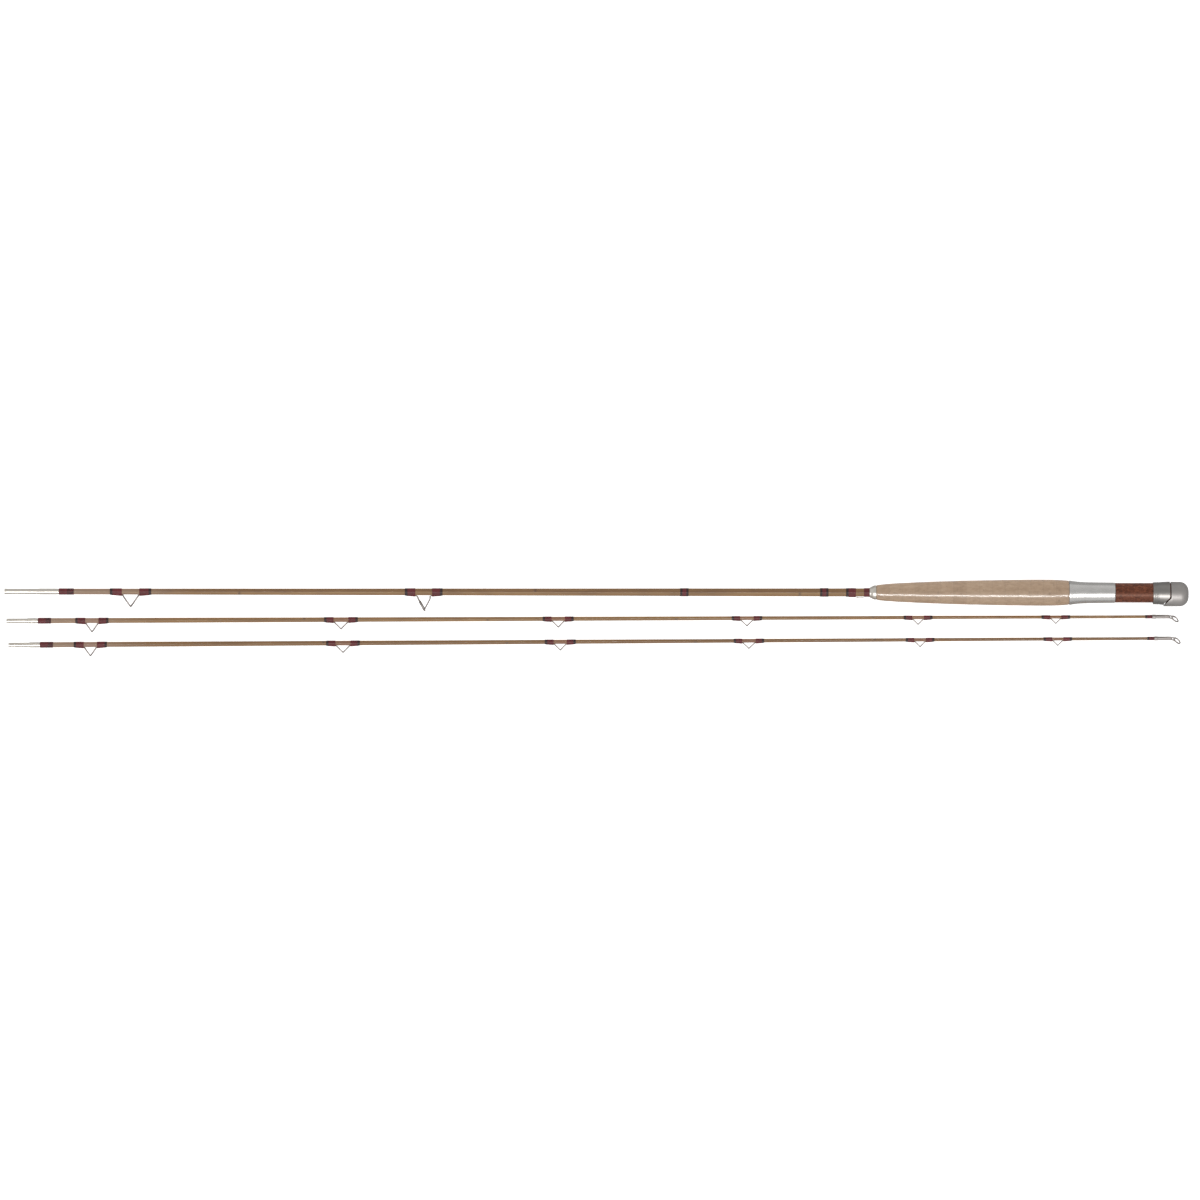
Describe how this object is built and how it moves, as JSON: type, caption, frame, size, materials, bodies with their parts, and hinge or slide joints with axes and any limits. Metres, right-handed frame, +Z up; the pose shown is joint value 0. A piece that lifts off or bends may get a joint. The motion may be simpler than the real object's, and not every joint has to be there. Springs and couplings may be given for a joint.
{
  "type": "fly rod",
  "caption": "Split-cane fly rod laid apart in sections: butt with cork grip and slide-band reel seat, and matching tips with male ferrules and snake guides.",
  "frame": {"origin": "the point of the butt cap's flat end face that the butt section's axis passes through", "axes": "+X along the butt section from its ferrule to its cap, +Y away from the guides and the spare tips, +Z up from the surface the rod is laid out on"},
  "size_m": [1.1603, 0.0765, 0.0256],
  "materials": {
    "cane": "varnished split bamboo",
    "silk": "varnished crimson silk thread with near-black ends",
    "cork": "smooth cork with a satin seal",
    "burl": "polished reddish burl",
    "spun_aluminium": "polished",
    "satin_aluminium": "satin",
    "nickel_silver": "polished nickel silver",
    "guide_steel": "polished steel wire",
    "plug": "sealed wood"
  },
  "bodies": {
    "butt_section": {"butt_cane": "cane", "butt_cap": "satin_aluminium", "butt_ferrule_wrap": "silk", "butt_snake_guide": "guide_steel", "butt_snake_wraps": "silk", "cork_grip": "cork", "female_ferrule": "nickel_silver", "ferrule_plug": "plug", "keeper_strap": "nickel_silver", "keeper_wrap_front": "silk", "keeper_wrap_rear": "silk", "seat_sleeve": "spun_aluminium", "signature_wrap_front": "silk", "signature_wrap_rear": "silk", "stripping_guide_frame": "guide_steel", "stripping_guide_ring": "guide_steel", "stripping_guide_wraps": "silk", "winding_check": "nickel_silver", "wood_spacer": "burl"},
    "slide_band": {"slide_band": "satin_aluminium"},
    "keeper_ring": {"keeper_ring": "nickel_silver"},
    "tip_1": {"tip_1_cane": "cane", "tip_1_ferrule_wrap": "silk", "tip_1_guide_wraps_1": "silk", "tip_1_guide_wraps_2": "silk", "tip_1_guide_wraps_3": "silk", "tip_1_guide_wraps_4": "silk", "tip_1_guide_wraps_5": "silk", "tip_1_guide_wraps_6": "silk", "tip_1_male_ferrule": "nickel_silver", "tip_1_snake_guide_1": "guide_steel", "tip_1_snake_guide_2": "guide_steel", "tip_1_snake_guide_3": "guide_steel", "tip_1_snake_guide_4": "guide_steel", "tip_1_snake_guide_5": "guide_steel", "tip_1_snake_guide_6": "guide_steel", "tip_1_tip_top": "guide_steel", "tip_1_top_wrap": "silk"},
    "tip_2_ferrule": {"tip_2_male_ferrule": "nickel_silver"},
    "tip_2": {"tip_2_cane": "cane", "tip_2_ferrule_wrap": "silk", "tip_2_guide_wraps_1": "silk", "tip_2_guide_wraps_2": "silk", "tip_2_guide_wraps_3": "silk", "tip_2_guide_wraps_4": "silk", "tip_2_guide_wraps_5": "silk", "tip_2_guide_wraps_6": "silk", "tip_2_snake_guide_1": "guide_steel", "tip_2_snake_guide_2": "guide_steel", "tip_2_snake_guide_3": "guide_steel", "tip_2_snake_guide_4": "guide_steel", "tip_2_snake_guide_5": "guide_steel", "tip_2_snake_guide_6": "guide_steel", "tip_2_tip_top": "guide_steel", "tip_2_top_wrap": "silk"}
  },
  "joints": [
    {"name": "band_slide", "type": "slide", "parent": "butt_section", "child": "slide_band", "axis": [-1, 0, 0], "range_m": [0, 0.0365]},
    {"name": "keeper_swing", "type": "hinge", "parent": "butt_section", "child": "keeper_ring", "pos_m": [-0.3249, -0.0051, 0], "axis": [0, 0, -1], "range_deg": [0, 165]},
    {"name": "ferrule_seat", "type": "slide", "parent": "butt_section", "child": "tip_1", "axis": [1, 0, 0], "range_m": [0, 0.022]},
    {"name": "tip_2_swing", "type": "hinge", "parent": "tip_1", "child": "tip_2_ferrule", "pos_m": [-1.15969, -0.02631, -0.00425], "axis": [-0.0006, 0.1595, -0.9872], "range_deg": [0, 180.4]},
    {"name": "tip_2_turn", "type": "hinge", "parent": "tip_2_ferrule", "child": "tip_2", "pos_m": [-1.1569, -0.0526, -0.0085], "axis": [-1, -0.007, 0], "range_deg": [0, 161.65]}
  ]
}
